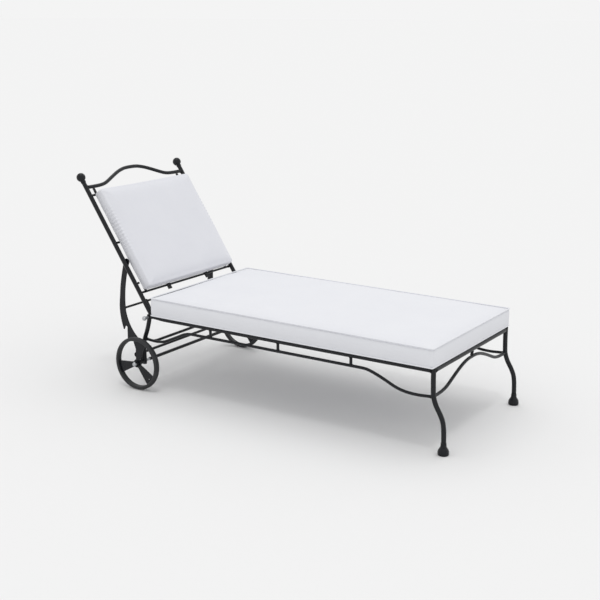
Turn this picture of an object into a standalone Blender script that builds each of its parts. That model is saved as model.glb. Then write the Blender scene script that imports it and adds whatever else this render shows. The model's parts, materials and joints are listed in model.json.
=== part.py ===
"""Reclining sun lounger: wheeled steel frame, hinged back on two notched arms, seat and back cushions.

Row frame: metres, +Z up, +X towards the foot end, -Y is the side with the right-hand wheel.
Right and left are those of a person lying on it. The floor is z = 0 and the origin is under the middle.
"""

import math

import bmesh
import bpy
from mathutils import Vector

# ---------------------------------------------------------------- driving dimensions, metres
SEAT_LENGTH = 1.324        # seat cushion, rear end to foot end
SEAT_WIDTH = 0.700
SEAT_THICK = 0.078
RAIL_Z = 0.3156            # centre height of the side rails
TUBE_R = 0.0095            # side rails, front rail and legs
ROD_R = 0.006              # lower rails, posts and cross bars
APRON_R = 0.0065
GAP = 0.0003               # between pieces that touch
RUNNING = 0.0005           # between pieces that turn on one another

LEG_FLARE = 0.050          # how far each front leg sweeps forward on its way down
FOOT_R = 0.0215            # bell foot at its widest
FOOT_H = 0.047
LOWER_RAIL_Z = 0.2735      # straight middle of the lower rails
LOWER_END_Z = 0.215        # where they meet the legs

WHEEL_R = 0.115
TYRE_T = 0.015             # radial thickness
TYRE_W = 0.026
HUB_R = 0.013
AXLE_R = 0.006

BACK_ANGLE = 123.8         # degrees from +X to the uprights, measured in the XZ plane
UPRIGHT_R = 0.0095
BALL_ALONG = 0.681         # ball centre, from the foot of the back along the uprights
BALL_R = 0.0195
CREST_ALONG = 0.631        # crest rail where it meets the uprights
CREST_RISE = 0.063         # how much higher its middle is
CREST_R = 0.008
BACK_CUSHION_INSET = 0.030  # back cushion's side, inside the uprights' centre lines
BACK_CUSHION_T = 0.050
BACK_CUSHION_LOW = 0.126
BACK_CUSHION_HIGH = 0.596
STRAP_YS = (-0.283, -0.134, 0.134, 0.283)

ARM_PIVOT_ALONG = 0.2647   # where the notched arms hang on the uprights
ARM_T = 0.005
TIP_R = 0.1904             # arm teeth, measured from the back's hinge
REST_BAR_ANGLE = 246.7     # degrees, from the hinge to the rest bar
HINGE_BOLT_R = 0.004

# ---------------------------------------------------------------- derived places
RAIL_Y = SEAT_WIDTH / 2 - 0.020
UPRIGHT_Y = RAIL_Y - 0.005
BACK_CUSHION_W = 2 * (UPRIGHT_Y - BACK_CUSHION_INSET)
WHEEL_Y = RAIL_Y + 0.048
FRONT_X = SEAT_LENGTH - 0.005
FOOT_X = FRONT_X + LEG_FLARE
HINGE_X = -0.025
HINGE_Z = RAIL_Z
AXLE_X = -0.058
AXLE_Z = WHEEL_R
FOOT_OF_BACK_X = -0.012    # where the uprights' centre line would cross the rail height
SEAT_Z0 = RAIL_Z + TUBE_R + 2 * GAP
ALONG = Vector((math.cos(math.radians(BACK_ANGLE)), 0, math.sin(math.radians(BACK_ANGLE))))
FRONT = Vector((math.sin(math.radians(BACK_ANGLE)), 0, -math.cos(math.radians(BACK_ANGLE))))
BALL_X = FOOT_OF_BACK_X + ALONG.x * BALL_ALONG
SHIFT_X = -((BALL_X - BALL_R) + (FOOT_X + FOOT_R)) / 2
SHIFT = Vector((SHIFT_X, 0, 0))

SIDES = (("right", -1), ("left", 1))


def back_point(along, front, y):
    """A point given along the uprights, in front of their centre plane, and across."""
    return Vector((FOOT_OF_BACK_X, 0, HINGE_Z)) + ALONG * along + FRONT * front + Vector((0, y, 0))


def polar(radius, degrees):
    """A point in XZ around the back's hinge."""
    a = math.radians(degrees)
    return Vector((HINGE_X + radius * math.cos(a), 0, HINGE_Z + radius * math.sin(a)))


HINGE = Vector((HINGE_X, 0, HINGE_Z))
ARM_PIVOT = back_point(ARM_PIVOT_ALONG, 0, 0)
REST_BAR = polar(TIP_R + GAP + ROD_R + GAP, REST_BAR_ANGLE)
ARM_Y0 = UPRIGHT_Y - UPRIGHT_R - 2 * RUNNING
ARM_Y1 = ARM_Y0 - ARM_T
TONGUE_Y0 = UPRIGHT_Y - UPRIGHT_R
TONGUE_T = 0.005

# ---------------------------------------------------------------- scene and helpers
for old in list(bpy.data.objects):
    bpy.data.objects.remove(old, do_unlink=True)

COLLECTION = bpy.context.scene.collection


def linear(hex_colour):
    out = []
    for i in (0, 2, 4):
        c = int(hex_colour[i:i + 2], 16) / 255
        out.append(c / 12.92 if c <= 0.04045 else ((c + 0.055) / 1.055) ** 2.4)
    return (*out, 1.0)


def finish_of(name, hex_colour, roughness, metallic):
    m = bpy.data.materials.new(name)
    m.use_nodes = True
    shader = m.node_tree.nodes["Principled BSDF"]
    shader.inputs["Base Color"].default_value = linear(hex_colour)
    shader.inputs["Roughness"].default_value = roughness
    shader.inputs["Metallic"].default_value = metallic
    return m


FINISHES = {
    "paint": ("3A3B3E", 0.45, 0.0),
    "zinc": ("B9BBBE", 0.35, 1.0),
    "rubber": ("2B2C2E", 0.70, 0.0),
    "fabric": ("E8E9EC", 0.90, 0.0),
}


AXIS_AT = {}               # where each joint axis is, shifted


def empty(name, at):
    e = bpy.data.objects.new(name, None)
    e.location = at + SHIFT
    AXIS_AT[name] = at + SHIFT
    COLLECTION.objects.link(e)
    return e


def put(name, bm, origin, finish, parent=None, smooth=True):
    """Make an object of bm, whose points are in the unshifted world frame, with its origin at origin."""
    bm.normal_update()
    bmesh.ops.recalc_face_normals(bm, faces=bm.faces[:])
    if bm.calc_volume(signed=True) < 0:
        bmesh.ops.reverse_faces(bm, faces=bm.faces[:])
    bmesh.ops.translate(bm, verts=bm.verts[:], vec=-origin)
    for face in bm.faces:
        face.smooth = smooth
    mesh = bpy.data.meshes.new(name)
    bm.to_mesh(mesh)
    bm.free()
    colour, roughness, metallic = FINISHES[finish]
    mesh.materials.append(finish_of(name, colour, roughness, metallic))
    ob = bpy.data.objects.new(name, mesh)
    COLLECTION.objects.link(ob)
    if parent is None:
        ob.location = origin + SHIFT
    else:
        ob.parent = parent
        ob.location = origin + SHIFT - AXIS_AT[parent.name]
    return ob


def smooth_path(points, per_span):
    """A Catmull-Rom curve through the points."""
    p = [Vector(q) for q in points]
    p = [2 * p[0] - p[1]] + p + [2 * p[-1] - p[-2]]
    out = []
    for i in range(1, len(p) - 2):
        for k in range(per_span):
            t = k / per_span
            a, b, c, d = p[i - 1:i + 3]
            out.append(0.5 * ((2 * b) + (c - a) * t + (2 * a - 5 * b + 4 * c - d) * t * t
                              + (3 * b - a - 3 * c + d) * t ** 3))
    out.append(p[-2])
    return out


def sweep(path, radius, plane_normal, sides=16, scales=None):
    """A closed round bar along a path that lies in one plane."""
    bm = bmesh.new()
    n = plane_normal.normalized()
    rings = []
    for i, at in enumerate(path):
        before = path[max(i - 1, 0)]
        after = path[min(i + 1, len(path) - 1)]
        t = (after - before).normalized()
        side = t.cross(n).normalized()
        su, sn = scales[i] if scales else (1, 1)
        ring = []
        for k in range(sides):
            a = 2 * math.pi * k / sides
            ring.append(bm.verts.new(at + side * radius * su * math.cos(a) + n * radius * sn * math.sin(a)))
        rings.append(ring)
    for a, b in zip(rings, rings[1:]):
        for k in range(sides):
            bm.faces.new((a[k], a[(k + 1) % sides], b[(k + 1) % sides], b[k]))
    bm.faces.new(rings[0])
    bm.faces.new(rings[-1])
    return bm


def across(y0, y1, x, z, radius, sides=12):
    """A straight round bar along Y."""
    return sweep([Vector((x, y0, z)), Vector((x, y1, z))], radius, Vector((0, 0, 1)), sides)


def lathe(profile, centre, axis, segments=24, ring=False):
    """Turn a profile of (radius, height) pairs about an axis. A ring's profile is a closed loop."""
    bm = bmesh.new()
    w = axis.normalized()
    u = w.orthogonal().normalized()
    v = w.cross(u)
    rows = []
    for r, h in profile:
        if r < 1e-9:
            rows.append([bm.verts.new(centre + w * h)])
            continue
        row = []
        for k in range(segments):
            a = 2 * math.pi * k / segments
            row.append(bm.verts.new(centre + w * h + u * r * math.cos(a) + v * r * math.sin(a)))
        rows.append(row)
    pairs = list(zip(rows, rows[1:]))
    if ring:
        pairs.append((rows[-1], rows[0]))
    for a, b in pairs:
        for k in range(segments):
            j = (k + 1) % segments
            if len(a) == 1 and len(b) == 1:
                continue
            if len(a) == 1:
                bm.faces.new((a[0], b[k], b[j]))
            elif len(b) == 1:
                bm.faces.new((a[k], a[j], b[0]))
            else:
                bm.faces.new((a[k], a[j], b[j], b[k]))
    return bm


def plate(outline, y0, y1):
    """A flat plate whose outline is a list of XZ points, from y0 to y1."""
    bm = bmesh.new()
    low = [bm.verts.new((q[0], y0, q[1])) for q in outline]
    high = [bm.verts.new((q[0], y1, q[1])) for q in outline]
    count = len(outline)
    for k in range(count):
        j = (k + 1) % count
        bm.faces.new((low[k], low[j], high[j], high[k]))
    caps = [bm.faces.new(low), bm.faces.new(high)]
    bm.normal_update()     # the triangles are worked out in each cap's own plane
    bmesh.ops.triangulate(bm, faces=caps)
    return bm


def block(low, high, bevel=0.0, segments=2):
    """A box between two corners, with rounded edges if asked."""
    bm = bmesh.new()
    bmesh.ops.create_cube(bm, size=1.0)
    for v in bm.verts:
        v.co = Vector([low[i] + (v.co[i] + 0.5) * (high[i] - low[i]) for i in range(3)])
    if bevel:
        bmesh.ops.bevel(bm, geom=bm.edges[:], offset=bevel, segments=segments, profile=0.5,
                        affect="EDGES", clamp_overlap=True)
    return bm


def bore(ob, centre, axis, radius, length, name):
    """Drill a hole through an object."""
    bm = lathe([(0, -length / 2), (radius, -length / 2), (radius, length / 2), (0, length / 2)],
               centre, axis, 20)
    cutter = put(name, bm, centre, "zinc", ob.parent)
    cutter.hide_render = True
    cutter.display_type = "WIRE"
    m = ob.modifiers.new("bore", "BOOLEAN")
    m.operation = "DIFFERENCE"
    m.solver = "EXACT"
    m.object = cutter


def weld_on(ob, bm, name, origin):
    """Fuse a second shape to an object, as one casting."""
    other = put(name, bm, origin, "paint", ob.parent)
    other.hide_render = True
    other.display_type = "WIRE"
    m = ob.modifiers.new("fuse", "BOOLEAN")
    m.operation = "UNION"
    m.solver = "EXACT"
    m.object = other


def arc(centre, radius, start, stop, steps):
    out = []
    for k in range(steps + 1):
        a = math.radians(start + (stop - start) * k / steps)
        out.append((centre[0] + radius * math.cos(a), centre[1] + radius * math.sin(a)))
    return out


X = Vector((1, 0, 0))
Y = Vector((0, 1, 0))
Z = Vector((0, 0, 1))

back_pivot = empty("back_hinge_axis", HINGE)
arm_pivot = empty("prop_arm_axis", ARM_PIVOT)
wheel_pivots = {}
for side, s in SIDES:
    wheel_pivots[side] = empty("wheel_axis_" + side, Vector((AXLE_X, s * WHEEL_Y, AXLE_Z)))

# ---------------------------------------------------------------- fixed frame
INNER_Y = RAIL_Y - TUBE_R - GAP
REAR_FLAT = ((0.000, 0.55, 1.1), (0.020, 0.55, 1.1), (0.040, 0.75, 1.05), (0.058, 0.93, 1.0),
             (0.075, 1.0, 1.0))

leg_x = ((TUBE_R + 0.0008, 0), (-0.035, 0), (-0.090, 0.002), (-0.107, 0.005), (-0.122, 0.010), (-0.138, 0.0175),
         (-0.161, 0.031), (-0.186, 0.0425), (-0.212, 0.0475), (-0.240, 0.0492))

rear_leg_at = ((0.0095, HINGE_X), (-0.015, HINGE_X - 0.001), (-0.032, HINGE_X - 0.005),
               (-0.050, HINGE_X - 0.010), (-0.068, HINGE_X - 0.016), (-0.086, HINGE_X - 0.023),
               (-0.104, HINGE_X - 0.029), (-0.121, HINGE_X - 0.033))

for side, s in SIDES:
    y = s * RAIL_Y
    start = HINGE_X + TUBE_R + GAP
    path = [Vector((start + d, y, RAIL_Z)) for d, _, _ in REAR_FLAT]
    path += [Vector((FRONT_X - TUBE_R - GAP, y, RAIL_Z))]
    scales = [(a, b) for _, a, b in REAR_FLAT] + [(1, 1)]
    put("side_rail_" + side, sweep(path, TUBE_R, Y, 16, scales), path[0], "paint")

    # front leg: upright to below the rails, then swept forward to the foot
    points = [Vector((FRONT_X + dx * LEG_FLARE / 0.050, y, RAIL_Z + dz)) for dz, dx in leg_x]
    points.append(Vector((FOOT_X, y, FOOT_H + GAP)))
    put("front_leg_" + side, sweep(smooth_path(points, 3), TUBE_R, Y), Vector((FOOT_X, y, 0)), "paint")

    foot = [(0, 0), (0.0180, 0), (0.0203, 0.0012), (FOOT_R, 0.005), (FOOT_R, 0.012), (0.0205, 0.0175),
            (0.0185, 0.0222), (0.0155, 0.0268), (0.0127, 0.0310), (0.0113, 0.0360), (0.0108, FOOT_H),
            (0, FOOT_H)]
    put("bell_foot_" + side, lathe(foot, Vector((FOOT_X, y, 0)), Z, 28), Vector((FOOT_X, y, 0)), "paint")

    # rear leg: S-curved from the hinge down to the axle
    points = [Vector((x, y, RAIL_Z + dz)) for dz, x in rear_leg_at]
    points += [Vector((AXLE_X - 0.0015, y, AXLE_Z + 0.060)), Vector((AXLE_X - 0.001, y, AXLE_Z + 0.030)),
               Vector((AXLE_X, y, AXLE_Z)), Vector((AXLE_X, y, AXLE_Z - 0.013))]
    leg = put("rear_leg_" + side, sweep(smooth_path(points, 2), TUBE_R, Y), Vector((AXLE_X, y, AXLE_Z)),
              "paint")
    bore(leg, Vector((HINGE_X, y, HINGE_Z)), Y, HINGE_BOLT_R + GAP, 0.05, "hinge_hole_cutter_" + side)
    bore(leg, Vector((AXLE_X, y, AXLE_Z)), Y, AXLE_R + GAP, 0.05, "axle_hole_cutter_" + side)

    # lower rail: low at both ends, straight in the middle
    leg_front = HINGE_X - 0.0285 + TUBE_R + 0.0042
    ends = LOWER_END_Z - LOWER_RAIL_Z
    rear = ((0.000, 0.000), (0.022, -0.002), (0.049, -0.0028), (0.072, -0.001), (0.097, 0.004),
            (0.137, 0.0215), (0.176, 0.0395), (0.204, 0.052), (0.234, 0.0582), (0.270, -ends))
    front = ((0.300, -ends), (0.272, 0.0572), (0.243, 0.0495), (0.210, 0.037), (0.182, 0.025),
             (0.153, 0.012), (0.123, 0.0025), (0.088, -0.0025), (0.052, -0.0035), (0.028, -0.002),
             (0.0, 0.0))
    leg_rear = FRONT_X + 0.003 - TUBE_R - 0.0012
    points = smooth_path([Vector((leg_front + dx, y, LOWER_END_Z + dz)) for dx, dz in rear], 2)
    points += smooth_path([Vector((leg_rear - dx, y, LOWER_END_Z + dz)) for dx, dz in front], 2)
    put("lower_rail_" + side, sweep(points, ROD_R, Y, 12), points[0], "paint")

    # three short posts tie the two rails together
    pitch = (leg_rear - 0.340 - 0.302) / 2
    for k in range(3):
        at = Vector((0.302 + pitch * k, y, 0))
        bm = sweep([at + Z * (LOWER_RAIL_Z + ROD_R + GAP), at + Z * (RAIL_Z - TUBE_R - GAP)], ROD_R, Y, 12)
        put(f"rail_post_{side}_{k + 1}", bm, at + Z * LOWER_RAIL_Z, "paint")

    # bracket that carries the rest bar behind the rear leg
    leg_back = AXLE_X - 0.001 - TUBE_R - GAP
    around = arc((REST_BAR.x, REST_BAR.z), 0.011, 100, 290, 10)
    outline = around + [(leg_back - 0.0014, AXLE_Z - 0.002), (leg_back - 0.0014, AXLE_Z + 0.052)]
    put("rest_bar_bracket_" + side, plate(outline, y - 0.003, y + 0.003), Vector((AXLE_X, y, AXLE_Z)),
        "paint", smooth=False)

    # hinge bolt: head inside, shank through the leg, thicker outside up to its cap nut
    inner = TONGUE_Y0 - TONGUE_T - RUNNING
    outer = RAIL_Y + TUBE_R + GAP
    bolt_end = RAIL_Y + 0.0265
    profile = [(0, inner - 0.005), (0.0065, inner - 0.005), (0.0070, inner - 0.004), (0.0070, inner),
               (HINGE_BOLT_R, inner), (HINGE_BOLT_R, outer), (0.0062, outer), (0.0062, bolt_end),
               (0, bolt_end)]
    put("hinge_bolt_" + side, lathe(profile, HINGE, Y * s, 20), Vector((HINGE_X, y, HINGE_Z)), "zinc")
    dome = [(0, bolt_end + GAP), (0.0085, bolt_end + GAP), (0.0095, bolt_end + 0.0013),
            (0.0095, bolt_end + 0.0055), (0.0088, bolt_end + 0.009), (0.0066, bolt_end + 0.0125),
            (0.0035, bolt_end + 0.0145), (0, bolt_end + 0.0150)]
    put("hinge_cap_nut_" + side, lathe(dome, HINGE, Y * s, 20), Vector((HINGE_X, y, HINGE_Z)), "zinc")

    nut = WHEEL_Y + 0.0150 + GAP
    dome = [(0, nut), (0.0090, nut), (0.0100, nut + 0.001), (0.0100, nut + 0.0045), (0.0090, nut + 0.0075),
            (0.0062, nut + 0.0100), (0, nut + 0.0108)]
    put("axle_cap_nut_" + side, lathe(dome, Vector((AXLE_X, 0, AXLE_Z)), Y * s, 20),
        Vector((AXLE_X, s * WHEEL_Y, AXLE_Z)), "zinc")

put("front_rail", across(-INNER_Y, INNER_Y, FRONT_X, RAIL_Z, TUBE_R, 16),
    Vector((FRONT_X, 0, RAIL_Z)), "paint")
put("rear_cross_tube", across(-INNER_Y, INNER_Y, 0.080, RAIL_Z, 0.008, 14),
    Vector((0.080, 0, RAIL_Z)), "paint")

apron = ((0.0, 0.071), (0.040, 0.0695), (0.080, 0.062), (0.118, 0.050), (0.156, 0.0355), (0.190, 0.0215),
         (0.225, 0.009), (0.262, 0.003), (0.295, 0.0015))
APRON_X = FRONT_X + 0.002
width = INNER_Y / 0.3197
points = [Vector((APRON_X, -INNER_Y, LOWER_END_Z + 0.0015))]
points += [Vector((APRON_X, -dy * width, LOWER_END_Z + dz)) for dy, dz in reversed(apron)]
points += [Vector((APRON_X, dy * width, LOWER_END_Z + dz)) for dy, dz in apron[1:]]
points += [Vector((APRON_X, INNER_Y, LOWER_END_Z + 0.0015))]
put("front_apron", sweep(smooth_path(points, 2), APRON_R, X, 12), Vector((APRON_X, 0, LOWER_END_Z)), "paint")
low = Vector((FRONT_X + 0.001, 0, LOWER_END_Z + 0.071 + APRON_R + GAP))
high = Vector((FRONT_X + 0.001, 0, RAIL_Z - TUBE_R - GAP))
put("apron_post", sweep([low, high], ROD_R, X, 12), low, "paint")

lower_inner = RAIL_Y - ROD_R - GAP
put("lower_cross_bar", across(-lower_inner, lower_inner, 0.000, LOWER_END_Z - 0.0028, ROD_R),
    Vector((0, 0, LOWER_END_Z)), "paint")
rest_end = RAIL_Y - 0.003 - GAP
put("rest_bar", across(-rest_end, rest_end, REST_BAR.x, REST_BAR.z, ROD_R, 16), REST_BAR, "paint")
axle_end = WHEEL_Y + 0.0150
put("wheel_axle", across(-axle_end, axle_end, AXLE_X, AXLE_Z, AXLE_R, 16),
    Vector((AXLE_X, 0, AXLE_Z)), "zinc")

SLATS = 5
for k in range(SLATS):
    x = 0.150 + (FRONT_X - 0.300) * k / (SLATS - 1)
    bm = block((x - 0.0225, -INNER_Y, RAIL_Z + 0.002), (x + 0.0225, INNER_Y, RAIL_Z + 0.006))
    put(f"seat_slat_{k + 1}", bm, Vector((x, 0, RAIL_Z)), "paint", smooth=False)

bm = block((0, -SEAT_WIDTH / 2, SEAT_Z0), (SEAT_LENGTH, SEAT_WIDTH / 2, SEAT_Z0 + SEAT_THICK), 0.016, 3)
put("seat_cushion", bm, Vector((0, 0, SEAT_Z0)), "fabric")

# ---------------------------------------------------------------- the back, which turns on the hinge bolts
for side, s in SIDES:
    y = s * UPRIGHT_Y
    top = BALL_ALONG - 0.0260
    path = [back_point(0.024, 0, y), back_point(top, 0, y)]
    up = put("upright_" + side, sweep(path, UPRIGHT_R, Y, 16), HINGE, "paint", back_pivot)
    # a flat tongue carries the upright on the hinge bolt
    high = back_point(0.075, 0, 0)
    away = math.degrees(math.atan2(high.z - HINGE_Z, high.x - HINGE_X))
    outline = arc((HINGE_X, HINGE_Z), 0.013, away + 97, away + 263, 12)
    outline += arc((high.x, high.z), 0.0085, away - 83, away + 83, 8)
    y0, y1 = sorted((s * (TONGUE_Y0 + 0.001), s * (TONGUE_Y0 - TONGUE_T)))
    weld_on(up, plate(outline, y0, y1), "tongue_shape_" + side, HINGE)
    bore(up, Vector((HINGE_X, s * TONGUE_Y0, HINGE_Z)), Y, HINGE_BOLT_R + RUNNING, 0.03,
         "tongue_hole_cutter_" + side)

    a = top + GAP
    b = BALL_ALONG
    profile = [(0, a), (0.0100, a), (0.0115, a + 0.001), (0.0115, a + 0.0055), (0.0100, a + 0.0066)]
    for k in range(11):
        t = math.radians(-58 + (90 + 58) * k / 10)
        profile.append((BALL_R * math.cos(t) if k < 10 else 0, b + BALL_R * math.sin(t)))
    put("finial_" + side, lathe(profile, back_point(0, 0, y), ALONG, 24), back_point(b, 0, y), "paint",
        back_pivot)

    stud0 = UPRIGHT_Y - UPRIGHT_R - GAP
    stud1 = ARM_Y1 - RUNNING
    profile = [(0, -stud0), (0.004, -stud0), (0.004, -stud1), (0.008, -stud1), (0.008, 0.0035 - stud1),
               (0.0065, 0.0048 - stud1), (0, 0.0048 - stud1)]
    put("arm_pivot_stud_" + side, lathe(profile, ARM_PIVOT, Y * -s, 20), ARM_PIVOT, "zinc", back_pivot)

crest_end = UPRIGHT_Y - UPRIGHT_R - GAP
crest = ((0.0, 1.0), (0.045, 0.965), (0.088, 0.80), (0.125, 0.58), (0.160, 0.35), (0.195, 0.13),
         (0.225, 0.03), (0.262, 0.0), (0.295, 0.0))
width = crest_end / 0.3152
points = [back_point(CREST_ALONG, 0, -crest_end)]
points += [back_point(CREST_ALONG + CREST_RISE * t, 0, -dy * width) for dy, t in reversed(crest)]
points += [back_point(CREST_ALONG + CREST_RISE * t, 0, dy * width) for dy, t in crest[1:]]
points += [back_point(CREST_ALONG, 0, crest_end)]
put("crest_rail", sweep(smooth_path(points, 2), CREST_R, FRONT, 14), back_point(CREST_ALONG, 0, 0), "paint",
    back_pivot)

BAR_BEHIND = -0.0086
for name, along in (("top", BACK_CUSHION_HIGH - 0.002), ("middle", 0.360), ("bottom", 0.1175)):
    path = [back_point(along, BAR_BEHIND, -crest_end), back_point(along, BAR_BEHIND, crest_end)]
    put("back_cross_bar_" + name, sweep(path, 0.005, FRONT, 12), path[0], "paint", back_pivot)

for k, y in enumerate(STRAP_YS):
    outer = abs(y) > 0.2
    y = math.copysign(BACK_CUSHION_W / 2 - 0.012, y) if outer else y * width
    half = 0.0065 if outer else 0.012
    low_at = 0.111 if outer else 0.096
    high_at = CREST_ALONG - CREST_R - 2 * GAP if outer else BACK_CUSHION_HIGH - 0.004
    bm = bmesh.new()
    corners = []
    for along in (low_at, high_at):
        for front in (-0.0033, -0.0003):
            for dy in (-half, half):
                corners.append(bm.verts.new(back_point(along, front, y + dy)))
    for face in ((0, 1, 3, 2), (4, 6, 7, 5), (0, 4, 5, 1), (2, 3, 7, 6), (0, 2, 6, 4), (1, 5, 7, 3)):
        bm.faces.new([corners[i] for i in face])
    put(f"back_strap_{k + 1}", bm, back_point(low_at, 0, y), "paint", back_pivot, smooth=False)

bm = block((0, -BACK_CUSHION_W / 2, 0), (BACK_CUSHION_HIGH - BACK_CUSHION_LOW, BACK_CUSHION_W / 2,
                                          BACK_CUSHION_T), 0.014, 3)
for v in bm.verts:
    v.co = back_point(BACK_CUSHION_LOW + v.co.x, 0.0006 + v.co.z, v.co.y)
put("back_cushion", bm, back_point(BACK_CUSHION_LOW, 0, 0), "fabric", back_pivot)

# ---------------------------------------------------------------- the two notched arms and their link rod
arm_pivot.parent = back_pivot
arm_pivot.location = ARM_PIVOT - HINGE


def arm_outline():
    """Outline of an arm at rest, clockwise from the top: front edge, end hook, teeth, rear edge."""
    p = ARM_PIVOT
    rear = [p + Vector((-0.0145, 0, -0.004)), p + Vector((-0.0260, 0, -0.050)),
            p + Vector((-0.0365, 0, -0.104)), polar(0.1890, 158.5), polar(0.1822, 172),
            polar(0.1793, 184), polar(0.1788, 196), polar(0.1805, 204.5)]
    front = [p + Vector((0.0120, 0, -0.008)), p + Vector((0.0020, 0, -0.042)),
             p + Vector((-0.0065, 0, -0.078)), p + Vector((-0.0130, 0, -0.120)),
             p + Vector((-0.0160, 0, -0.160)), polar(0.1500, 176), polar(0.1440, 190), polar(0.1400, 204),
             polar(0.1385, 218), polar(0.1385, 230), polar(0.1400, 240), polar(0.1440, 247)]
    teeth = [polar(0.1500, 250.6), polar(0.1660, 251.9), polar(0.1880, 251.6), polar(0.1940, 251.0),
             polar(0.1955, 250.0), polar(0.1945, 248.9), polar(0.1925, 248.5),
             polar(TIP_R, 248.1), polar(TIP_R, 246.4), polar(TIP_R, 244.6), polar(TIP_R - 0.004, 243.6),
             polar(0.1790, 243.0), polar(0.1750, 242.0), polar(0.1770, 241.2), polar(0.1895, 240.6),
             polar(0.1903, 239.6), polar(0.1885, 238.9),
             polar(0.1670, 228.6), polar(0.1640, 227.4), polar(0.1655, 226.3), polar(0.1730, 225.4),
             polar(0.1800, 225.2), polar(0.1885, 223.4), polar(0.1903, 222.6), polar(0.1890, 221.9),
             polar(0.1600, 208.8), polar(0.1570, 207.0), polar(0.1580, 205.0), polar(0.1620, 204.0),
             polar(0.1680, 204.2), polar(0.1790, 207.6), polar(0.1810, 207.4), polar(0.1815, 206.4)]
    top = []
    for q in arc((p.x, p.z), 0.0145, 195, -30, 12):
        top.append(Vector((q[0], 0, q[1])))
    run = top + smooth_path(front, 2) + teeth + list(reversed(smooth_path(rear, 2)))
    return [(q.x, q.z) for q in run]


for side, s in SIDES:
    y0, y1 = sorted((s * ARM_Y0, s * ARM_Y1))
    arm = put("notched_arm_" + side, plate(arm_outline(), y0, y1), ARM_PIVOT, "paint", arm_pivot,
              smooth=False)
    bore(arm, Vector((ARM_PIVOT.x, s * ARM_Y0, ARM_PIVOT.z)), Y, 0.004 + RUNNING, 0.03,
         "arm_hole_cutter_" + side)

link = polar(0.1640, 176.6)
link_end = ARM_Y1 - GAP
put("arm_link_rod", across(-link_end, link_end, link.x, link.z, 0.005), ARM_PIVOT, "paint", arm_pivot)

# ---------------------------------------------------------------- wheels
SPOKES = (197, 77, 317)
for side, s in SIDES:
    centre = Vector((AXLE_X, s * WHEEL_Y, AXLE_Z))
    hold = wheel_pivots[side]
    ri, ro, h = WHEEL_R - TYRE_T, WHEEL_R, TYRE_W / 2
    loop = [(ri, -h + 0.003), (ri + 0.0015, -h + 0.001), (ri + 0.004, -h), (ro - 0.007, -h),
            (ro - 0.0035, -h + 0.0015), (ro - 0.001, -h + 0.0045), (ro, -h + 0.008), (ro, h - 0.008),
            (ro - 0.001, h - 0.0045), (ro - 0.0035, h - 0.0015), (ro - 0.007, h), (ri + 0.004, h),
            (ri + 0.0015, h - 0.001), (ri, h - 0.003)]
    put("tyre_" + side, lathe(loop, centre, Y, 60, ring=True), centre, "rubber", hold)
    # three flat spokes, narrow at the hub and wide at the rim, cut from one plate
    outline = []
    for k in range(3):
        a = sorted(SPOKES)[k]
        b = sorted(SPOKES)[(k + 1) % 3] + (360 if k == 2 else 0)
        outline += arc((AXLE_X, AXLE_Z), ri - GAP, a - 15.5, a + 15.5, 6)
        outline += arc((AXLE_X, AXLE_Z), 0.0185, a + 33, b - 33, 5)
    disc = put("wheel_disc_" + side, plate(outline, s * WHEEL_Y - 0.002, s * WHEEL_Y + 0.002), centre,
               "paint", hold, smooth=False)
    a = math.radians(316)
    hole = centre + Vector((0.088 * math.cos(a), 0, 0.088 * math.sin(a)))
    bore(disc, hole, Y, 0.0032, 0.03, "spoke_hole_cutter_" + side)
    # the hub is welded through the plate, with a thinner neck up to the leg
    neck = RAIL_Y + TUBE_R + RUNNING
    h0, h1 = WHEEL_Y - 0.0145, WHEEL_Y + 0.0145
    profile = [(0, neck), (0.0095, neck), (0.0095, h0), (HUB_R - 0.001, h0), (HUB_R, h0 + 0.001),
               (HUB_R, h1 - 0.001), (HUB_R - 0.001, h1), (0, h1)]
    weld_on(disc, lathe(profile, Vector((AXLE_X, 0, AXLE_Z)), Y * s, 24), "hub_shape_" + side, centre)
    bore(disc, centre, Y, AXLE_R + RUNNING, 0.12, "hub_hole_cutter_" + side)
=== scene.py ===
import json
import math

import bmesh
import bpy
from mathutils import Matrix, Vector, noise


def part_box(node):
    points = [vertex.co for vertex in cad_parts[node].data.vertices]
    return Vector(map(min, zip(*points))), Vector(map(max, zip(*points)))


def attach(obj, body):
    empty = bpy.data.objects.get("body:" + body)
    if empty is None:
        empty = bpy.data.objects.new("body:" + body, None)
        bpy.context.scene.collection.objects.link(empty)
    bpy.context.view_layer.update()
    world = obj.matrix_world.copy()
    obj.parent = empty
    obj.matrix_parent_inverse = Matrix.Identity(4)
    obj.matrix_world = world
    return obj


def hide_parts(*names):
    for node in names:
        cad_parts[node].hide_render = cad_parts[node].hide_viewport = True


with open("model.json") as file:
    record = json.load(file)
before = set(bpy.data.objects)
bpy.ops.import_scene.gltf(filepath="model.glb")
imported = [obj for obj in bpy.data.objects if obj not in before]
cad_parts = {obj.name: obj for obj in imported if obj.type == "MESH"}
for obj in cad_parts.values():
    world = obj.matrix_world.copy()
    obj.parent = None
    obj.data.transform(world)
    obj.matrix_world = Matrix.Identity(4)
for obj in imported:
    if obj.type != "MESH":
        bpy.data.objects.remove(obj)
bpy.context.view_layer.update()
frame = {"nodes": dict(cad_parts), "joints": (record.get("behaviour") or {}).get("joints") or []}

NODES = frame["nodes"]
JOINTS = {j["name"]: j for j in frame["joints"]}
SCENE = bpy.context.scene
X = Vector((1, 0, 0))
Y = Vector((0, 1, 0))
Z = Vector((0, 0, 1))
SIDES = (("right", -1), ("left", 1))
MM = 0.001

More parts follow.
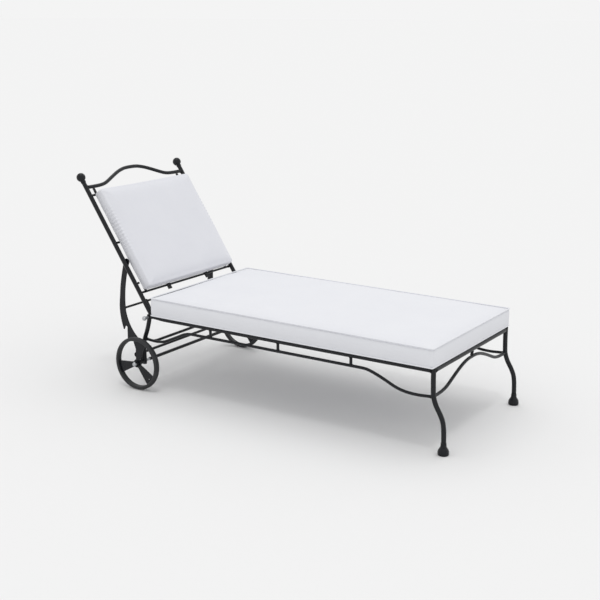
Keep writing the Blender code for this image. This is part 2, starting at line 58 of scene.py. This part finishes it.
# the frame's bars, as radii, and where they are joined
TUBE_R = 0.0095            # side rails and front rail
CROSS_TUBE_R = 0.008       # rear cross tube
ROD_R = 0.006              # lower rails, posts, lower cross bar and rest bar
APRON_R = 0.0065
LINK_R = 0.005             # rod between the notched arms
LOWER_END_Z = 0.215        # where the lower rails meet the legs
GAP = 0.0003               # between pieces that touch

# the back's bars: places along the uprights, then in front of their centre plane
CREST_ALONG = 0.631
CREST_R = 0.008
BACK_BARS_ALONG = (0.594, 0.360, 0.1175)
BACK_BARS_FRONT = -0.0086
BACK_BAR_R = 0.005

# the back's own axes at rest: along its uprights, and out of its front
BACK_ANGLE = math.radians(123.8)
HINGE = Vector(JOINTS["back_recline"]["pos_m"])
FOOT_AHEAD = 0.013         # the uprights' centre line crosses the rail height ahead of the hinge
BACK_FOOT = HINGE + X * FOOT_AHEAD
ALONG = Vector((math.cos(BACK_ANGLE), 0, math.sin(BACK_ANGLE)))
FRONT = Vector((math.sin(BACK_ANGLE), 0, -math.cos(BACK_ANGLE)))
UPRIGHT_Y = 0.325
UPRIGHT_R = 0.0095


def back_point(along, front, y):
    """A point given along the uprights, in front of their centre plane, and across."""
    return BACK_FOOT + ALONG * along + FRONT * front + Y * y


# ---------------------------------------------------------------- finishes

def linear(hex_colour):
    """An sRGB hex colour as the linear values that a shader takes."""
    out = []
    for i in (0, 2, 4):
        c = int(hex_colour[i:i + 2], 16) / 255
        out.append(c / 12.92 if c <= 0.04045 else ((c + 0.055) / 1.055) ** 2.4)
    return (*out, 1.0)


def add(tree, kind, links=(), values=(), **settings):
    """Add a node: links are (input, output socket) pairs, values are (input, number) pairs."""
    made = tree.nodes.new(kind)
    for name, value in settings.items():
        setattr(made, name, value)
    for key, value in values:
        made.inputs[key].default_value = value
    for key, source in links:
        tree.links.new(source, made.inputs[key])
    return made


def new_finish(name):
    """An empty material with its shader, and the Object coordinates that its patterns read."""
    finish = bpy.data.materials.new(name)
    finish.use_nodes = True
    tree = finish.node_tree
    shader = tree.nodes["Principled BSDF"]
    place = add(tree, "ShaderNodeTexCoord").outputs["Object"]
    return finish, tree, shader, place


def two_tone(tree, place, scale, detail, light, dark):
    """A colour that drifts softly between two close shades."""
    drift = add(tree, "ShaderNodeTexNoise", [("Vector", place)], [("Scale", scale), ("Detail", detail)])
    return add(tree, "ShaderNodeMix", [("Factor", drift.outputs["Fac"])],
               [("A", linear(light)), ("B", linear(dark))], data_type="RGBA").outputs["Result"]


def powder_coat():
    # Polyester powder coat on steel, charcoal: satin, with an orange-peel skin about 1.5 mm
    # from hill to hill.
    finish, tree, shader, place = new_finish("charcoal powder-coated steel")
    colour = two_tone(tree, place, 1 / (60 * MM), 3, "17191D", "111216")
    tree.links.new(colour, shader.inputs["Base Color"])
    peel = add(tree, "ShaderNodeTexNoise", [("Vector", place)], [("Scale", 1 / (1.5 * MM)), ("Detail", 2)])
    cloudy = add(tree, "ShaderNodeTexNoise", [("Vector", place)], [("Scale", 1 / (25 * MM)), ("Detail", 4)])
    rough = add(tree, "ShaderNodeMapRange", [("Value", cloudy.outputs["Fac"])],
                [("From Min", 0.3), ("From Max", 0.7), ("To Min", 0.26), ("To Max", 0.35)])
    tree.links.new(rough.outputs["Result"], shader.inputs["Roughness"])
    bump = add(tree, "ShaderNodeBump", [("Height", peel.outputs["Fac"])],
               [("Strength", 0.35), ("Distance", 0.08 * MM)])
    tree.links.new(bump.outputs["Normal"], shader.inputs["Normal"])
    shader.inputs["IOR"].default_value = 1.52
    shader.inputs["Specular IOR Level"].default_value = 0.26
    return finish


def weld_metal():
    # Weld beads under the same powder coat, less glossy: rippled every 1.2 mm, so they glint unevenly.
    finish, tree, shader, place = new_finish("powder-coated weld bead")
    colour = two_tone(tree, place, 1 / (20 * MM), 2, "16181B", "101114")
    tree.links.new(colour, shader.inputs["Base Color"])
    ripple = add(tree, "ShaderNodeTexVoronoi", [("Vector", place)], [("Scale", 1 / (1.2 * MM))])
    bump = add(tree, "ShaderNodeBump", [("Height", ripple.outputs["Distance"])],
               [("Strength", 0.5), ("Distance", 0.25 * MM)])
    tree.links.new(bump.outputs["Normal"], shader.inputs["Normal"])
    shader.inputs["Roughness"].default_value = 0.42
    shader.inputs["IOR"].default_value = 1.52
    shader.inputs["Specular IOR Level"].default_value = 0.26
    return finish


def zinc_plate():
    # Zinc-plated steel fittings: silver grey, softly clouded where the plating varies.
    finish, tree, shader, place = new_finish("zinc-plated steel")
    colour = two_tone(tree, place, 1 / (6 * MM), 3, "C6C8CA", "A9ACAF")
    tree.links.new(colour, shader.inputs["Base Color"])
    cloudy = add(tree, "ShaderNodeTexNoise", [("Vector", place)], [("Scale", 1 / (3 * MM)), ("Detail", 4)])
    rough = add(tree, "ShaderNodeMapRange", [("Value", cloudy.outputs["Fac"])],
                [("From Min", 0.3), ("From Max", 0.7), ("To Min", 0.26), ("To Max", 0.40)])
    tree.links.new(rough.outputs["Result"], shader.inputs["Roughness"])
    shader.inputs["Metallic"].default_value = 1.0
    return finish


def tyre_rubber():
    # Solid moulded rubber: matt black in two close shades, pitted about 0.8 mm apart.
    finish, tree, shader, place = new_finish("moulded black rubber")
    colour = two_tone(tree, place, 1 / (12 * MM), 4, "232427", "1B1C1E")
    tree.links.new(colour, shader.inputs["Base Color"])
    pits = add(tree, "ShaderNodeTexNoise", [("Vector", place)], [("Scale", 1 / (0.8 * MM)), ("Detail", 3)])
    bump = add(tree, "ShaderNodeBump", [("Height", pits.outputs["Fac"])],
               [("Strength", 0.4), ("Distance", 0.12 * MM)])
    tree.links.new(bump.outputs["Normal"], shader.inputs["Normal"])
    shader.inputs["Roughness"].default_value = 0.62
    shader.inputs["IOR"].default_value = 1.52
    return finish


WEAVE_SCALE = 1 / (2.4 * MM) * 0.05    # the bands repeat every pi / 10 over this, so every 15 mm


def canvas(name, turn, light, dark):
    """Woven outdoor canvas, with its threads square to a cushion turned about Y."""
    # White dyed acrylic, plain woven. Threads about 0.6 mm apart are too fine to show, so the weave is
    # drawn as faint ridges about 15 mm apart. The fibres give a soft sheen at a low angle.
    finish, tree, shader, place = new_finish(name)
    turned = add(tree, "ShaderNodeMapping", [("Vector", place)],
                 [("Rotation", (0, turn, 0))]).outputs["Vector"]
    colour = two_tone(tree, turned, 1 / (140 * MM), 3, light, dark)
    tree.links.new(colour, shader.inputs["Base Color"])
    heights = []
    for direction in ("X", "Y", "Z"):
        thread = add(tree, "ShaderNodeTexWave", [("Vector", turned)],
                     [("Scale", WEAVE_SCALE), ("Distortion", 0.6), ("Detail", 1.0),
                      ("Detail Scale", 2.0)], wave_type="BANDS", bands_direction=direction)
        heights.append(thread.outputs["Fac"])
    both = add(tree, "ShaderNodeMath", [(0, heights[0]), (1, heights[1])], operation="ADD").outputs[0]
    weave = add(tree, "ShaderNodeMath", [(0, both), (1, heights[2])], operation="ADD").outputs[0]
    slub = add(tree, "ShaderNodeTexNoise", [("Vector", turned)], [("Scale", 1 / (9 * MM)), ("Detail", 5)])
    cloth = add(tree, "ShaderNodeMath", [(0, weave), (1, slub.outputs["Fac"])], operation="ADD").outputs[0]
    bump = add(tree, "ShaderNodeBump", [("Height", cloth)], [("Strength", 0.25), ("Distance", 0.12 * MM)])
    tree.links.new(bump.outputs["Normal"], shader.inputs["Normal"])
    shader.inputs["Roughness"].default_value = 0.88
    shader.inputs["IOR"].default_value = 1.48
    shader.inputs["Sheen Weight"].default_value = 0.12
    shader.inputs["Sheen Roughness"].default_value = 0.5
    return finish


POWDER_COAT = powder_coat()
WELD = weld_metal()
ZINC = zinc_plate()
RUBBER = tyre_rubber()
SEAT_CANVAS = canvas("white canvas, seat", 0, "E0E1E5", "DBDCE1")
BACK_CANVAS = canvas("white canvas, back", BACK_ANGLE - math.pi, "DEDFE4", "D8D9DF")
PIPING_CANVAS = canvas("white canvas piping", 0, "E2E3E7", "DCDDE2")


# ---------------------------------------------------------------- making pieces

def keep(name, bm, finish, body, smooth=True):
    """Make a finished piece from bm, which is in the row frame."""
    bmesh.ops.remove_doubles(bm, verts=bm.verts[:], dist=1e-6)
    bmesh.ops.recalc_face_normals(bm, faces=bm.faces[:])
    for face in bm.faces:
        face.smooth = smooth
    mesh = bpy.data.meshes.new(name)
    bm.to_mesh(mesh)
    bm.free()
    mesh.materials.append(finish)
    piece = bpy.data.objects.new(name, mesh)
    SCENE.collection.objects.link(piece)
    if body:
        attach(piece, body)
    return piece


def facing(at, axis):
    """A matrix that takes +Z to axis and the origin to at."""
    return Matrix.Translation(at) @ axis.to_track_quat("Z", "Y").to_matrix().to_4x4()


def weld_ring(bm, at, axis, bar_r, bead_r):
    """A weld bead round a bar's end: a small circle spun round the bar's axis."""
    place = facing(at, axis)
    made = bmesh.ops.create_circle(bm, segments=6, radius=bead_r, cap_ends=False)["verts"]
    bmesh.ops.rotate(bm, verts=made, matrix=Matrix.Rotation(math.pi / 2, 3, "X"))
    bmesh.ops.translate(bm, verts=made, vec=(bar_r, 0, 0))
    edges = list({e for v in made for e in v.link_edges})
    done = bmesh.ops.spin(bm, geom=made + edges, cent=(0, 0, 0), axis=(0, 0, 1), angle=2 * math.pi,
                          steps=18, use_merge=True, use_duplicate=False)
    ring = {v for v in made if v.is_valid}
    ring |= {v for v in done["geom_last"] if isinstance(v, bmesh.types.BMVert) and v.is_valid}
    grow = list(ring)
    while grow:
        for edge in grow.pop().link_edges:
            for v in edge.verts:
                if v not in ring:
                    ring.add(v)
                    grow.append(v)
    bmesh.ops.transform(bm, matrix=place, verts=list(ring))


# ---------------------------------------------------------------- finishes of the CAD pieces

CRISP = math.radians(32)   # edges sharper than this stay sharp
JOIN = 0.00001             # corners of loose triangles this close are one corner
PLATED = ("hinge_bolt_", "hinge_cap_nut_", "axle_cap_nut_", "wheel_axle", "arm_pivot_stud_")

for name, ob in NODES.items():
    if name.startswith("tyre_"):
        finish = RUBBER
    elif name.startswith(PLATED):
        finish = ZINC
    else:
        finish = POWDER_COAT
    ob.data.materials.clear()
    ob.data.materials.append(finish)
    if "cushion" in name:
        continue
    weld = ob.modifiers.new("join triangles", "WELD")
    weld.merge_threshold = JOIN
    for face in ob.data.polygons:
        face.use_smooth = True
    split = ob.modifiers.new("crisp edges", "EDGE_SPLIT")
    split.split_angle = CRISP


# ---------------------------------------------------------------- weld beads at the joints

BEAD = 1.6 * MM
BEAD_IN = (0.0012, -0.0004)    # how far the lower rails' beads sit in from their two ends


def centre_of(node):
    """The middle of a piece's box, and the box's two corners."""
    low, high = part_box(node)
    return (low + high) / 2, low, high


def post_welds(bm, node, r):
    """Beads at the foot and the head of an upright bar."""
    at, low, high = centre_of(node)
    for z in (low.z, high.z):
        weld_ring(bm, Vector((at.x, at.y, z)), Z, r, BEAD)


def cross_welds(bm, node, r):
    """Beads at both ends of a bar that runs across."""
    at, low, high = centre_of(node)
    for y in (low.y, high.y):
        weld_ring(bm, Vector((at.x, y, at.z)), Y, r, BEAD)


bed_welds = bmesh.new()
for side, _ in SIDES:
    for k in (1, 2, 3):
        post_welds(bed_welds, f"rail_post_{side}_{k}", ROD_R)
for bar, r in (("front_rail", TUBE_R), ("rear_cross_tube", CROSS_TUBE_R), ("lower_cross_bar", ROD_R),
               ("rest_bar", ROD_R)):
    cross_welds(bed_welds, bar, r)
post_welds(bed_welds, "apron_post", ROD_R)
for side, s in SIDES:
    at, low, high = centre_of(f"lower_rail_{side}")
    for x in (low.x + BEAD_IN[0], high.x + BEAD_IN[1]):
        weld_ring(bed_welds, Vector((x, at.y, LOWER_END_Z)), X, ROD_R, BEAD)
    at, low, high = centre_of("front_apron")
    y = low.y if s < 0 else high.y
    weld_ring(bed_welds, Vector((at.x, y, low.z + APRON_R)), Y, APRON_R, BEAD)
    at, low, high = centre_of(f"side_rail_{side}")
    weld_ring(bed_welds, Vector((high.x, at.y, at.z)), X, TUBE_R, BEAD)
keep("frame_weld_beads", bed_welds, WELD, "bed")

back_welds = bmesh.new()
bar_end = UPRIGHT_Y - UPRIGHT_R - GAP
back_bars = [(CREST_ALONG, 0, CREST_R)]
back_bars += [(along, BACK_BARS_FRONT, BACK_BAR_R) for along in BACK_BARS_ALONG]
for along, front, r in back_bars:
    for y in (-bar_end, bar_end):
        weld_ring(back_welds, back_point(along, front, y), Y, r, BEAD)
keep("back_weld_beads", back_welds, WELD, "back")

prop_welds = bmesh.new()
cross_welds(prop_welds, "arm_link_rod", LINK_R)
keep("prop_weld_beads", prop_welds, WELD, "prop")


# ---------------------------------------------------------------- axle tube and upright stops

# a painted tube covers the axle between the notched arms
SLEEVE_END, SLEEVE_BORE, SLEEVE_R = 0.300, 0.0062, 0.0071
AROUND = 20                # sides of the tube and of the stops
at = centre_of("wheel_axle")[0]
sleeve = bmesh.new()
for y, r in ((-SLEEVE_END, SLEEVE_BORE), (SLEEVE_END, SLEEVE_BORE), (SLEEVE_END, SLEEVE_R),
             (-SLEEVE_END, SLEEVE_R)):
    ring = bmesh.ops.create_circle(sleeve, segments=AROUND, radius=r, cap_ends=False)["verts"]
    bmesh.ops.transform(sleeve, matrix=facing(Vector((at.x, y, at.z)), Y), verts=ring)
sleeve.edges.ensure_lookup_table()
rings = [sleeve.edges[AROUND * k:AROUND * (k + 1)] for k in range(4)]
for k in range(4):
    bmesh.ops.bridge_loops(sleeve, edges=rings[k] + rings[(k + 1) % 4])
tube = keep("axle_tube", sleeve, POWDER_COAT, "bed")
tube_edges = tube.modifiers.new("crisp edges", "EDGE_SPLIT")
tube_edges.split_angle = CRISP

# small round stops on the insides of the uprights, below the cushion's corner
STOP_ALONG, STOP_FRONT, STOP_SUNK = 0.159, 0.004, 0.0042
for side, s in SIDES:
    stop = bmesh.new()
    bmesh.ops.create_cone(stop, cap_ends=True, segments=AROUND, radius1=0.0042, radius2=0.0050,
                          depth=0.010)
    rim = [e for e in stop.edges if all(v.co.z > 0 for v in e.verts)]
    bmesh.ops.bevel(stop, geom=rim, offset=0.0016, segments=3, profile=0.5, affect="EDGES", material=-1)
    end = back_point(STOP_ALONG, STOP_FRONT, s * (UPRIGHT_Y - UPRIGHT_R - STOP_SUNK))
    bmesh.ops.transform(stop, matrix=facing(end, Y * -s), verts=stop.verts[:])
    keep("upright_stop_" + side, stop, POWDER_COAT, "back")


# ---------------------------------------------------------------- cushions

SEAM_SPREAD = 0.030        # the seams' puckers fade over this much
FRAMES = 20                # the cloth settles over these


def mesh_of(bm, name):
    """A bmesh as a mesh of its own."""
    mesh = bpy.data.meshes.new(name)
    bm.to_mesh(mesh)
    bm.free()
    return mesh


def boxed_form(size, upper_r, corner_r, lower_r):
    """A box centred on X and Y and standing on z = 0, with its upper, corner and lower edges rounded."""
    bm = bmesh.new()
    bmesh.ops.create_cube(bm, size=1.0)
    bmesh.ops.scale(bm, vec=size, verts=bm.verts[:])
    bmesh.ops.translate(bm, vec=(0, 0, size[2] / 2), verts=bm.verts[:])

    def ease(edges, offset):
        bmesh.ops.bevel(bm, geom=edges, offset=offset, segments=3, profile=0.5, affect="EDGES", material=-1)

    ease([e for e in bm.edges if abs(e.verts[0].co.z - e.verts[1].co.z) > 0.001], corner_r)
    ease([e for e in bm.edges if all(v.co.z > size[2] - 1e-5 for v in e.verts)], upper_r)
    ease([e for e in bm.edges if all(v.co.z < 1e-5 for v in e.verts)], lower_r)
    return bm


def rim_distance(co, size):
    """How far a point is from the cover's top and bottom seams."""
    inward = max(min(size[0] / 2 - abs(co.x), size[1] / 2 - abs(co.y)), 0)
    drop = min(abs(size[2] - co.z), abs(co.z))
    return math.hypot(inward, drop)


def fill_cushion(name, size, rounding, voxel, crown, bulge, pinned, plump):
    """Remesh the cover, blow it up as cloth held at its seams, and cap how far it may move."""
    pad = bpy.data.objects.new(name, mesh_of(boxed_form(size, *rounding), name))
    SCENE.collection.objects.link(pad)
    remesh = pad.modifiers.new("voxels", "REMESH")
    remesh.mode = "VOXEL"
    remesh.voxel_size = voxel
    depsgraph = bpy.context.evaluated_depsgraph_get()
    mesh = bpy.data.meshes.new_from_object(pad.evaluated_get(depsgraph))
    pad.modifiers.clear()
    pad.data = mesh
    start = [v.co.copy() for v in mesh.vertices]
    held = pad.vertex_groups.new(name="seams")
    for i, co in enumerate(start):
        hold = 1 - min(max((rim_distance(co, size) - pinned) / pinned, 0), 1)
        if hold > 0:
            held.add([i], hold, "REPLACE")
    cloth = pad.modifiers.new("filling", "CLOTH")
    settings = cloth.settings
    settings.quality = 4
    settings.mass = 0.3
    settings.tension_stiffness = 15
    settings.compression_stiffness = 15
    settings.shear_stiffness = 5
    settings.bending_stiffness = 0.5
    settings.use_pressure = True
    settings.uniform_pressure_force = 4.0
    settings.effector_weights.gravity = 0
    settings.vertex_group_mass = "seams"
    settings.pin_stiffness = 1
    cloth.collision_settings.use_collision = False
    cloth.point_cache.frame_start = 1
    cloth.point_cache.frame_end = FRAMES
    for frame_number in range(1, FRAMES + 1):
        SCENE.frame_set(frame_number)
    depsgraph = bpy.context.evaluated_depsgraph_get()
    moved = [v.co.copy() for v in pad.evaluated_get(depsgraph).data.vertices]
    pad.modifiers.clear()
    SCENE.frame_set(1)
    for i, co in enumerate(start):
        step = moved[i] - co
        on_band = min(size[0] / 2 - abs(co.x), size[1] / 2 - abs(co.y)) < voxel
        cap = bulge if on_band else crown
        if step.length > 0:
            mesh.vertices[i].co = co + step * (cap * (1 - math.exp(-plump * step.length / cap)) / step.length)
    mesh.update()
    fine = pad.modifiers.new("one subdivision", "SUBSURF")
    fine.levels = 1
    fine.render_levels = 1
    depsgraph = bpy.context.evaluated_depsgraph_get()
    mesh = bpy.data.meshes.new_from_object(pad.evaluated_get(depsgraph))
    bpy.data.objects.remove(pad)
    return mesh


def rear_lift(co, size):
    """The filling is a little fuller towards the head end."""
    return 0.0045 * (0.5 - co.x / size.x) * co.z / size.z


def finish_cushion(name, mesh, finish, node, body):
    """Turn a filled cover into the finished piece on its body, and hide the plain cushion it replaces."""
    mesh.name = name
    mesh.materials.clear()
    mesh.materials.append(finish)
    for face in mesh.polygons:
        face.use_smooth = True
    piece = bpy.data.objects.new(name, mesh)
    SCENE.collection.objects.link(piece)
    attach(piece, body)
    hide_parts(node)
    return piece


def rounded_rectangle(half_x, half_y, corner, step):
    """Points round a rectangle with rounded corners, in order."""
    out = []
    for cx, cy, first in ((1, 1, 0), (-1, 1, 90), (-1, -1, 180), (1, -1, 270)):
        for k in range(7):
            a = math.radians(first + 15 * k)
            out.append(Vector((cx * (half_x - corner) + corner * math.cos(a),
                               cy * (half_y - corner) + corner * math.sin(a), 0)))
    dense = []
    for a, b in zip(out, out[1:] + out[:1]):
        n = max(1, int((b - a).length / step))
        dense += [a.lerp(b, k / n) for k in range(n)]
    return dense


def piping(name, path, radius, place, finish, body):
    """Covered cord sewn round an edge, as a closed curve with a round section."""
    curve = bpy.data.curves.new(name, "CURVE")
    curve.dimensions = "3D"
    curve.bevel_depth = radius
    curve.bevel_resolution = 3
    spline = curve.splines.new("POLY")
    spline.points.add(len(path) - 1)
    for point, co in zip(spline.points, path):
        point.co = (*(place @ co), 1)
    spline.use_cyclic_u = True
    curve.materials.append(finish)
    cord = bpy.data.objects.new(name, curve)
    SCENE.collection.objects.link(cord)
    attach(cord, body)
    return cord


# the seat cushion: a boxed cover with crisp, piped edges and a low crown
low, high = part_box("seat_cushion")
FULLER, LOWER = 0.003, 0.0026      # against the plain cushion, across and in height
SEAT_CLEAR = 0.0006                # the underside stays this far above the plain cushion's
SEAT_SIZE = Vector((high.x - low.x + FULLER, high.y - low.y + FULLER, high.z - low.z - LOWER))
seat_at = Matrix.Translation(((low.x + high.x) / 2, (low.y + high.y) / 2, low.z))
mesh = fill_cushion("seat_cushion_cover", SEAT_SIZE, rounding=(0.003, 0.005, 0.003), voxel=0.0096,
                    crown=0.014, bulge=0.006, pinned=0.009, plump=3.0)
normals = [v.normal.copy() for v in mesh.vertices]
for v, normal in zip(mesh.vertices, normals):
    near = math.exp(-(rim_distance(v.co, SEAT_SIZE) / SEAM_SPREAD) ** 2)
    pucker = noise.noise(Vector((v.co.x * 28, v.co.y * 28, v.co.z * 6))) * 0.0006 * near
    wave = noise.noise(v.co * 5.0) * 0.0012
    v.co += normal * (pucker + wave)
    v.co.z = max(v.co.z + rear_lift(v.co, SEAT_SIZE), SEAT_CLEAR)
mesh.transform(seat_at)
finish_cushion("seat_cushion_cover", mesh, SEAT_CANVAS, "seat_cushion", "bed")
PIPE_R = 0.0030
PROUD = 0.001                      # how far the piping stands out of the side bands
for level, z in (("top", high.z - low.z - PIPE_R), ("bottom", PIPE_R + SEAT_CLEAR)):
    rim = rounded_rectangle(SEAT_SIZE.x / 2 + PROUD - PIPE_R, SEAT_SIZE.y / 2 + PROUD - PIPE_R,
                            corner=0.005, step=0.02)
    rim = [p + Z * z for p in rim]
    rim = [p + Z * rear_lift(p, SEAT_SIZE) for p in rim]
    piping("seat_cushion_piping_" + level, rim, PIPE_R, seat_at, PIPING_CANVAS, "bed")

# the back cushion: softer front edges, and gathers across its two side bands
BACK_SIZE = Vector((0.478, 0.598, 0.050))
BACK_MIDDLE = 0.359                # along the uprights
PLEAT_GAP, PLEAT_DEPTH = 0.016, 0.0019
back_at = Matrix((
    (ALONG.x, 0, FRONT.x, 0),
    (0, 1, 0, 0),
    (ALONG.z, 0, FRONT.z, 0),
    (0, 0, 0, 1)))
back_at.translation = back_point(BACK_MIDDLE, 0.0006, 0)
mesh = fill_cushion("back_cushion_cover", BACK_SIZE, rounding=(0.011, 0.013, 0.003), voxel=0.0054,
                    crown=0.010, bulge=0.0035, pinned=0.004, plump=2.0)
normals = [v.normal.copy() for v in mesh.vertices]
for v, normal in zip(mesh.vertices, normals):
    co = v.co.copy()
    on_side = max(0.0, 1 - abs(BACK_SIZE.y / 2 - abs(co.y)) / 0.018) * min(co.z / 0.025, 1.0)
    within = math.exp(-((co.x - 0.04) / 0.105) ** 6)
    phase = co.x * 2 * math.pi / PLEAT_GAP + noise.noise(co * 12) * 2.0
    fold = math.sin(phase) * PLEAT_DEPTH * on_side * within
    wave = noise.noise(co * 6.0) * 0.0018
    v.co += normal * (fold + wave)
    v.co.z = max(v.co.z, 0.0)
mesh.transform(back_at)
finish_cushion("back_cushion_cover", mesh, BACK_CANVAS, "back_cushion", "back")


# ---------------------------------------------------------------- floor, light and camera

FLOOR_REACH = 400                  # metres, so that its edge is never seen
floor_bm = bmesh.new()
bmesh.ops.create_grid(floor_bm, x_segments=1, y_segments=1, size=FLOOR_REACH)
FLOOR = bpy.data.materials.new("matt pale studio floor")
FLOOR.use_nodes = True
floor_shader = FLOOR.node_tree.nodes["Principled BSDF"]
floor_shader.inputs["Base Color"].default_value = linear("E6E6E6")
floor_shader.inputs["Roughness"].default_value = 1.0
floor_shader.inputs["Specular IOR Level"].default_value = 0.0
floor = keep("studio_floor", floor_bm, FLOOR, None, smooth=False)

world = bpy.data.worlds.new("even studio light")
world.use_nodes = True
sky = world.node_tree.nodes["Background"]
sky.inputs["Color"].default_value = linear("F4F4F4")
sky.inputs["Strength"].default_value = 1.0
SCENE.world = world


def overhead_lamp(name, strength, width, tilt):
    """A sun lamp: width and tilt (about X, then Y) in degrees."""
    lamp = bpy.data.lights.new(name, "SUN")
    lamp.energy = strength
    lamp.angle = math.radians(width)
    hung = bpy.data.objects.new(name, lamp)
    hung.rotation_euler = (math.radians(tilt[0]), math.radians(tilt[1]), 0)
    SCENE.collection.objects.link(hung)


# a broad light, and a smaller one that puts a narrow glint along the tops of the bars
overhead_lamp("overhead softbox", 0.52, 55, (-14, -10))
overhead_lamp("small overhead lamp", 0.24, 6, (12, 8))

camera = bpy.data.objects.new("camera", bpy.data.cameras.new("camera"))
camera.data.lens = 66.97
camera.data.sensor_width = 36
camera.data.clip_end = 2000
camera.location = (2.5222, -3.8288, 1.5623)
looking = Vector((-0.5277, 0.8126, -0.2472)).to_track_quat("-Z", "Y").to_matrix()
camera.rotation_euler = (looking @ Matrix.Rotation(math.radians(0.19), 3, "Z")).to_euler()
SCENE.collection.objects.link(camera)
SCENE.camera = camera
SCENE.view_settings.view_transform = "Standard"
SCENE.view_settings.look = "None"
